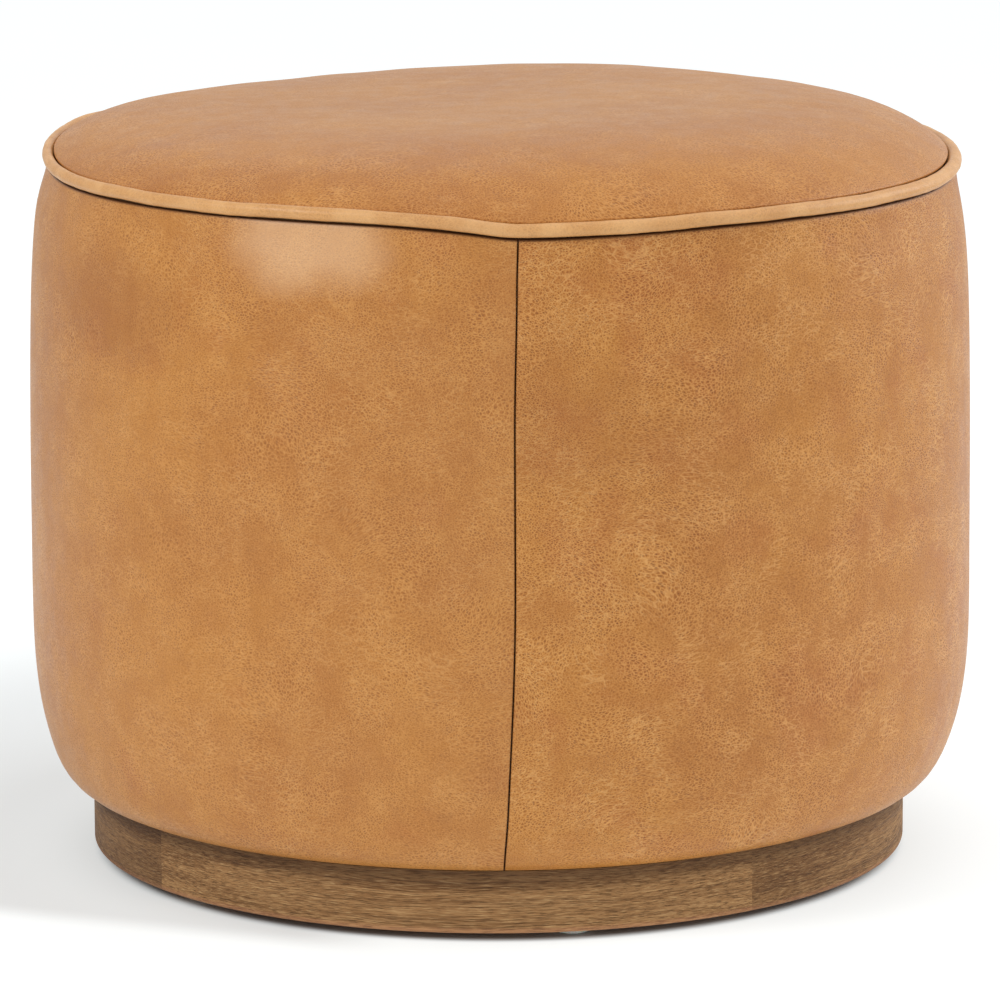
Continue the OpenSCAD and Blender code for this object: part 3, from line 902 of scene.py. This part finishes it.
def top_stitches(material):
    """The row of stitches that closes the top seam, on the hidden side of the seat's hem."""
    r = FLANGE_IN - LEATHER_T - 0.3 * MM
    z = (HEM_Z + PIPING_Z) / 2
    count = round(2 * math.pi * r / (STITCH * 1.25))
    runs = []
    for i in range(count):
        run = []
        for share, rise in ((0.08, -0.25), (0.3, 0.1), (0.62, 0.1), (0.84, -0.25)):
            run.append(settle(*polar(r - rise * MM, 2 * math.pi * (i + share) / count, z)))
        runs.append(run)
    points, faces = tubes(runs, TOP_THREAD_R)
    return make_piece("top_stitches", points, faces, material)


# ---- padding and cloth

PAD_COLUMNS = 180


def uneven(amount, size, seed):
    """A change of shape for a pad: settled, with an uneven surface."""
    def change(x, y, z):
        r = math.hypot(x, y) + 1e-9
        out = amount * waver(x, y, z, size, seed)
        return settle(x + out * x / r, y + out * y / r, z + out * 0.5)
    return change


def lathed(name, outline, material, amount, size, seed):
    points, faces = lathe(outline, PAD_COLUMNS, uneven(amount, size, seed))
    return make_piece(name, points, faces, material)


PAD_STEP = 6 * MM


def band_points(depth, high_z):
    """The side's outline at a depth, from a height down to where it meets the frame."""
    return [(r, z) for r, z in spaced(sunk(side_chain(SIDE_TOP_Z), depth), PAD_STEP)
            if r >= FRAME_R + CLEAR and UNDERSIDE_Z <= z <= high_z]


def dome_points(depth, end_r):
    """The seat's outline at a depth, from the axis out to a radius."""
    points = [(r, z) for r, z in spaced(sunk(dome_chain(PIPING_R), depth), PAD_STEP) if r < end_r]
    return [(0.0, points[0][1])] + points[1:]


SIDE_FACE = np.array(side_chain(SIDE_TOP_Z, 160))
SIDE_OUT = normals(SIDE_FACE)
SQUEEZE = 4.2 * MM  # how much thinner the wadding is behind a vertical seam,
SQUEEZE_W = 8 * MM  # and how far to each side that reaches


def squeezed(x, y, z):
    """The side wadding's change of shape: uneven, and pressed in by the four vertical seams."""
    r, angle = math.hypot(x, y), math.atan2(y, x)
    gaps = np.hypot(SIDE_FACE[:, 0] - r, SIDE_FACE[:, 1] - z)
    nearest = int(np.argmin(gaps))
    off = abs((angle - seam_turn(0, z) + QUARTER / 2) % QUARTER - QUARTER / 2) * r
    pressed = SQUEEZE * max(1 - off / SQUEEZE_W, 0.0) * max(1 - gaps[nearest] / PAD_IN, 0.0)
    pressed += 0.12 * MM * waver(x, y, z, 0.009, 2.0)
    r -= pressed * SIDE_OUT[nearest][0]
    return settle(*polar(r, angle, z - pressed * SIDE_OUT[nearest][1]))


def side_batting(material):
    outer = band_points(PAD_OUT, HEM_Z - CLEAR)
    inner = band_points(PAD_IN - CLEAR, HEM_Z - CLEAR)
    points, faces = lathe(outer + inner[::-1], 240, squeezed, first=SEAM_TURN)
    return make_piece("side_batting", points, faces, material)


def side_wrap(material):
    outer = band_points(PAD_IN + CLEAR, CROWN_Z - CLEAR)
    r = FRAME_R + CLEAR
    inner = spaced([(r, outer[-1][1] + 0.5 * MM), (r, CROWN_Z - CLEAR)], 12 * MM)
    return lathed("side_wrap_foam", outer + inner, material, 0.08 * MM, 0.006, 4.0)


CROWN_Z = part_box("crown_foam")[0].z


def crown_pad(material):
    depth = PAD_IN + CLEAR
    low = CROWN_Z + CLEAR
    edge = side_r(low) - depth - 0.4 * MM
    top = dome_points(depth, edge - 2 * MM)
    floor = [(edge, low + 4 * MM), (edge - MM, low)]
    floor += spaced([(edge - 8 * MM, low), (0.0, low)], 12 * MM)
    return lathed("crown_pad", top + floor, material, 0.08 * MM, 0.006, 6.0)


def seat_batting(material):
    rim = FLANGE_IN - LEATHER_T - 1.2 * MM
    top = dome_points(PAD_OUT, rim - MM)
    under = dome_points(PAD_IN - CLEAR, rim - 3.5 * MM)
    wall = [(rim, top[-1][1] - 2 * MM), (rim, HEM_Z + 6 * MM), (rim, HEM_Z + CLEAR)]
    back = [(rim - 0.8 * MM, HEM_Z + CLEAR), (rim - 0.9 * MM, HEM_Z + 4 * MM)]
    return lathed("seat_batting", top + wall + back + under[::-1], material, 0.12 * MM, 0.009, 8.0)


def seat_slab(material):
    low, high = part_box("seat_foam")
    r, top, bottom = high.x - CLEAR, high.z - CLEAR, low.z + CLEAR
    outline = [(0.0, top)] + spaced([(20 * MM, top), (r - 3 * MM, top)], 12 * MM)
    outline += arc((r - 3 * MM, top - 3 * MM), 3 * MM, 90, 0, 4)
    outline += spaced([(r, high.z - 12 * MM), (r, low.z + 12 * MM)], 8 * MM)
    outline += arc((r - 3 * MM, bottom + 3 * MM), 3 * MM, 0, -90, 4)
    outline += spaced([(r - 10 * MM, bottom), (20 * MM, bottom)], 12 * MM) + [(0.0, bottom)]
    return lathed("seat_slab", outline, material, 0.08 * MM, 0.006, 10.0)


def cloth_disc(name, node, material, ripple, seed):
    """A round sheet stretched flat, with a slightly frayed edge."""
    low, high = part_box(node)
    radius = high.x
    flat, faces, edge = disc(60, radius)
    rim = set(edge)
    points = []
    for k, (x, y) in enumerate(flat):
        fray = 1 + (0.0016 * waver(x, y, 0, 0.004, seed) if k in rim else 0.0)
        rise = ripple * waver(x, y, 0, 0.03, seed)
        points.append((x * fray, y * fray, high.z + rise - ripple))
    piece = make_piece(name, points, faces, material)
    skin = piece.modifiers.new("thickness", "SOLIDIFY")
    skin.thickness = high.z - low.z - 2 * ripple
    skin.offset = -1
    return applied(piece), radius


# ---- making and placing the pieces

def place(piece, slot, *nodes):
    """Puts a piece on the body in place of its CAD nodes."""
    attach(piece, "root")
    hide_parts(*nodes)
    return piece


# Each panel is cut from another part of the hide: grain, wear, warmth, paleness, and where it was cut.
CUTS = {
    "front_right": (1.0, 1.0, 0.05, 0.0, (0.0, 0.0, 0.0)),
    "back_right": (0.8, 0.7, 0.0, 0.0, (1.7, 0.4, 0.2)),
    "back_left": (0.9, 0.8, 0.03, 0.0, (2.9, 1.1, 0.5)),
    "front_left": (0.75, 0.6, -0.03, 0.04, (4.3, 2.2, 0.8)),
}
# Places in the leather's colour: a painted highlight under the piping at the front left, and darker places.
PATCHES = {
    "front_right": [((0.030, -0.270, 0.290), 0.085, 0.22, (140, 76, 22))],
    "front_left": [
        # painted highlight: a pale sheen under the piping
        ((-0.105, -0.245, 0.394), 0.062, 0.40, (232, 192, 150)),
        ((-0.215, -0.165, 0.345), 0.085, 0.35, (140, 76, 18)),
    ],
}
panels = [side_panel(i, leather("leather_" + side, *CUTS[side], patches=PATCHES.get(side, ())))
          for i, side in enumerate(SIDES)]
SEAT_PATCH = ((0.02, 0.06, 0.44), 0.33, 0.20, (186, 142, 84))  # most of the seat, a little yellower
seat_hide = leather("leather_seat", 0.9, 0.5, -0.15, 0.0, (6.1, 0.7, 3.1), SEAT_STRETCH, sat_on=True,
                    patches=[SEAT_PATCH])
seat = seat_panel(seat_hide)
press_out(panels + [seat])
for panel, side in zip(panels, SIDES):
    place(make_hide(panel), "leather", "side_leather_" + side)
place(make_hide(seat), "leather", "seat_leather")

welt_hide = leather("leather_piping", 0.6, 0.5, -0.1, 0.44, (8.8, 3.3, 1.4))
place(piping(welt_hide), "piping_leather", "piping_cover")
place(welt_cord(cord_finish()), "cord", "piping_cord")
thread = thread_finish()
place(seam_stitches(thread), "thread", "side_seam_threads")
place(top_stitches(thread), "thread", "top_seam_thread")

wadding = wadding_finish()
soft_foam = foam("soft_foam", srgb(240, 232, 196), srgb(222, 208, 160))
firm_foam = foam("firm_foam", srgb(188, 204, 222), srgb(160, 178, 202))
for piece, slot, node, fill in (
    (seat_batting(wadding), "wadding", "seat_wadding", 0.5),
    (side_batting(wadding), "wadding", "side_wadding", 0.5),
    (crown_pad(soft_foam), "soft_foam", "crown_foam", 0.8),
    (side_wrap(soft_foam), "soft_foam", "side_foam", 0.8),
    (seat_slab(firm_foam), "firm_foam", "seat_foam", 1.0),
):
    place(piece, slot, node)

hessian = woven("hessian_weave", 1.3 * MM, srgb(192, 164, 120), srgb(120, 94, 60))
for name, node, slot, material, rests_on in (
    ("hessian_sheet", "deck_cloth", "hessian", hessian, ["top_ring", "webbing_across_1"]),
    ("dust_sheet", "dust_cover", "dust_fabric", dust_finish(), ["bottom_board"]),
):
    piece, radius = cloth_disc(name, node, material, 0.05 * MM, 3.0)
    place(piece, slot, node)
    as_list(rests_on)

# ---- finishes of the CAD's own nodes

PLY_LAYER = 3 * MM
GREY, BLACK = srgb(74, 74, 78), srgb(34, 34, 36)
FINISHES = {}
for finish, starts in (
    (raw_wood("plywood", srgb(222, 196, 152), srgb(186, 150, 104), (18, 160, 300), PLY_LAYER),
     ["top_ring", "middle_ring", "bottom_board"]),
    (raw_wood("timber", srgb(226, 194, 144), srgb(190, 150, 98), (260, 260, 16)), ["upright_"]),
    (raw_wood("bent_board", srgb(176, 142, 104), srgb(140, 106, 72), (60, 60, 240)), ["side_shell"]),
    (raw_wood("dowel_beech", srgb(226, 190, 142), srgb(196, 154, 104), (260, 260, 60)), ["plinth_dowels"]),
    (woven("webbing_x", 1.1 * MM, GREY, BLACK, "Y"), ["webbing_across_"]),
    (woven("webbing_y", 1.1 * MM, GREY, BLACK, "X"), ["webbing_along_"]),
    (nylon_finish(), ["glide_"]),
    (steel_finish(), ["webbing_staples", "frame_screws", "plinth_screws", "glide_nails", "leather_staples",
                      "dust_cover_staples"]),
):
    FINISHES.update(dict.fromkeys(starts, finish))
# Each plinth segment's middle, in degrees, and how much painted shade darkens its board, most on the left.
PLINTH = {
    "plinth_right": (-8.5, 0.2),
    "plinth_back": (81.5, 0.1),
    "plinth_left": (171.5, 0.4),
    "plinth_front": (261.5, 0.0),
}


def finish_of(node):
    """The finish whose key is the longest start of a node's name."""
    keys = [key for key in FINISHES if node.startswith(key)]
    return FINISHES[max(keys, key=len)] if keys else None


for i, (node, (middle, dark)) in enumerate(PLINTH.items()):
    low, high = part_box(node)
    turn, move = math.radians(-90 - middle), (1.3 * i, 0.7 * i, 0.4 * i)
    FINISHES[node] = stained_wood("wood_" + node, turn, move, low.z, high.z, dark)
for node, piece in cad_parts.items():
    finish = finish_of(node)
    if finish:
        piece.data.materials.clear()
        piece.data.materials.append(finish)

# ---- floor, light and camera

HEIGHT = CAD_BOX[1].z


def add_object(name, data, position, target):
    made = bpy.data.objects.new(name, data)
    bpy.context.scene.collection.objects.link(made)
    made.location = position
    made.rotation_mode = "QUATERNION"
    made.rotation_quaternion = (Vector(target) - Vector(position)).to_track_quat("-Z", "Y")
    return made


def around(azimuth, elevation, distance, height):
    """A point seen from the pouf at an azimuth, 0 in front and 90 on the right, and an elevation."""
    a, e = math.radians(azimuth), math.radians(elevation)
    return (distance * math.sin(a) * math.cos(e), -distance * math.cos(a) * math.cos(e),
            height + distance * math.sin(e))


def softbox(name, azimuth, elevation, distance, width, tall, power):
    light = bpy.data.lights.new(name, "AREA")
    light.shape = "RECTANGLE"
    light.size, light.size_y, light.energy = width, tall, power
    return add_object(name, light, around(azimuth, elevation, distance, HEIGHT / 2), (0, 0, HEIGHT / 2))


def floor_paint():
    """White floor that glows a little, a painted light: not under the plinth, more close to it on the
    right, less in a painted soft shadow on the left, and less far out at the sides."""
    f = Finish("floor_paint", Roughness=0.9, Specular_IOR_Level=0.1)
    away = f.length(f.at)
    split_at = f.add("ShaderNodeSeparateXYZ", {"Vector": f.at})
    x, y = split_at.outputs["X"], split_at.outputs["Y"]
    glow = f.span(f.sum(x, 0.0, "ABSOLUTE"), 1.4, 0.6, 0.2, 0.57)
    glow = f.sum(glow, f.span(away, 0.32, 0.25, 0.0, f.span(x, 0.05, 0.25, 0.08, -0.03)))
    # painted shadow: less glow in a band on the left of the pouf
    shadow = f.product(f.span(f.sum(y, f.product(x, 0.4)), -0.30, -0.26), f.span(x, -0.05, -0.12))
    shadow = f.product(shadow, f.span(away, 0.75, 0.45))
    glow = f.sum(glow, f.product(shadow, -0.24))
    f.feed(f.shader.inputs["Emission Color"], (0.95, 1.0, 1.0, 1.0))
    f.feed(f.shader.inputs["Emission Strength"], f.product(glow, f.span(away, 0.2275, 0.2405)))
    return f.finish(f.mix(f.noise(0.4, detail=2), srgb(187, 189, 190), srgb(190, 192, 193)))


FLOOR_HALF = 8
floor_points = [(x * FLOOR_HALF, y * FLOOR_HALF, 0) for x, y in ((-1, -1), (1, -1), (1, 1), (-1, 1))]
make_piece("floor", floor_points, [(0, 1, 2, 3)], floor_paint())

softbox("overhead", azimuth=0, elevation=88, distance=2.4, width=2.4, tall=2.4, power=6.5)
softbox("key_left", azimuth=-52, elevation=34, distance=2.2, width=0.7, tall=0.6, power=13)
softbox("side_right", azimuth=105, elevation=26, distance=2.6, width=1.8, tall=1.4, power=20)

SKY_LEFT, SKY_RIGHT = 0.62, 1.06  # the sky's brightness, even from one side to the other

world = bpy.data.worlds.new("studio")
world.use_nodes = True
nodes, links = world.node_tree.nodes, world.node_tree.links
direction = nodes.new("ShaderNodeTexCoord")
split = nodes.new("ShaderNodeSeparateXYZ")
brightness = nodes.new("ShaderNodeMapRange")
for socket, value in (("From Min", -1), ("From Max", 1), ("To Min", SKY_LEFT), ("To Max", SKY_RIGHT)):
    brightness.inputs[socket].default_value = value
links.new(direction.outputs["Generated"], split.inputs[0])
links.new(split.outputs["X"], brightness.inputs["Value"])
links.new(brightness.outputs[0], nodes["Background"].inputs["Strength"])
nodes["Background"].inputs["Color"].default_value = (1, 1, 1, 1)
bpy.context.scene.world = world
bpy.context.scene.view_settings.view_transform = "Standard"

# The photo's view, in metres and degrees.
SENSOR = 36  # width of the film and length of the lens, in millimetres
LENS = 217.3
VIEW_DOWN = 10.84  # how steeply the camera looks down, how far off it is,
VIEW_DISTANCE = 3.538
VIEW_HEIGHT = 0.222  # and the height on the pouf's axis that both are measured from
VIEW_AT = (0.0014, 0, 0.2032)  # the point that it is aimed at
VIEW_ROLL = -0.2

camera_data = bpy.data.cameras.new("camera")
camera_data.sensor_width = SENSOR
camera_data.lens = LENS
camera = add_object("camera", camera_data, around(0, VIEW_DOWN, VIEW_DISTANCE, VIEW_HEIGHT), VIEW_AT)
camera.rotation_quaternion @= Quaternion((0, 0, 1), math.radians(VIEW_ROLL))
bpy.context.scene.camera = camera
